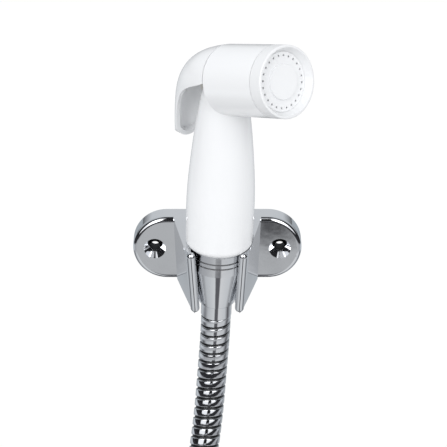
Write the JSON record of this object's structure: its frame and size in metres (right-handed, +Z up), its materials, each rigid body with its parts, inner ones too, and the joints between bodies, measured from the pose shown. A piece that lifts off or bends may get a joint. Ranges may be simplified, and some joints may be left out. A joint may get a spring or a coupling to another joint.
{
  "type": "handheld bidet shower",
  "caption": "Hand-held bidet spray with a thumb lever, resting in a two-eared wall bracket, on a flexible metal hose with a union nut.",
  "frame": {"origin": "midway between the bracket's two screw holes, in the plane of the wall", "axes": "+Z up, +Y into the wall, +X to the right for someone who faces the wall"},
  "size_m": [0.1723, 0.0703, 0.4244],
  "materials": {
    "chrome": "mirror bright plating",
    "white_plastic": "gloss moulded",
    "hose_metal": "bright interlocked strip",
    "rubber": "matt",
    "inner_plastic": "moulded",
    "steel": "drawn wire",
    "brass": "turned"
  },
  "bodies": {
    "bidet": {"wall_bracket": "chrome", "handset_body": "white_plastic", "spray_ring": "white_plastic", "spray_plate": "white_plastic", "plate_gasket": "rubber", "flow_disc": "inner_plastic", "valve_bonnet": "inner_plastic", "bonnet_washer": "rubber", "stem_o_ring": "rubber", "valve_spring": "steel", "lever_pins": "steel", "cone_nut": "chrome", "handset_washer": "rubber", "upper_nipple": "brass", "upper_ferrule": "chrome", "hose": "hose_metal", "hose_coil": "hose_metal", "hose_tail": "hose_metal", "hose_tie": "inner_plastic", "lower_ferrule": "chrome", "lower_nipple": "brass", "supply_washer": "rubber"},
    "lever": {"thumb_lever": "white_plastic"},
    "valve": {"valve_stem": "inner_plastic", "valve_seal": "rubber"},
    "union nut": {"supply_nut": "chrome"}
  },
  "joints": [
    {"name": "lever_swing", "type": "hinge", "parent": "bidet", "child": "lever", "pos_m": [0.00178, -0.02864, 0.09634], "axis": [-0.7431, -0.6691, 0], "range_deg": [0, 8], "stiffness_Nm_per_rad": 0.3},
    {"name": "valve_push", "type": "slide", "parent": "bidet", "child": "valve", "axis": [0.6682, -0.7421, -0.0541], "range_m": [0, 0.00095], "deforming": ["valve_spring"]},
    {"name": "union_nut_spin", "type": "hinge", "parent": "bidet", "child": "union nut", "pos_m": [-0.05186, -0.01869, -0.2933], "axis": [0, 0, -1], "continuous": true}
  ],
  "couplings": [
    {"joint": "lever_swing", "follows": "valve_push", "rad_per_m": 146.77}
  ]
}
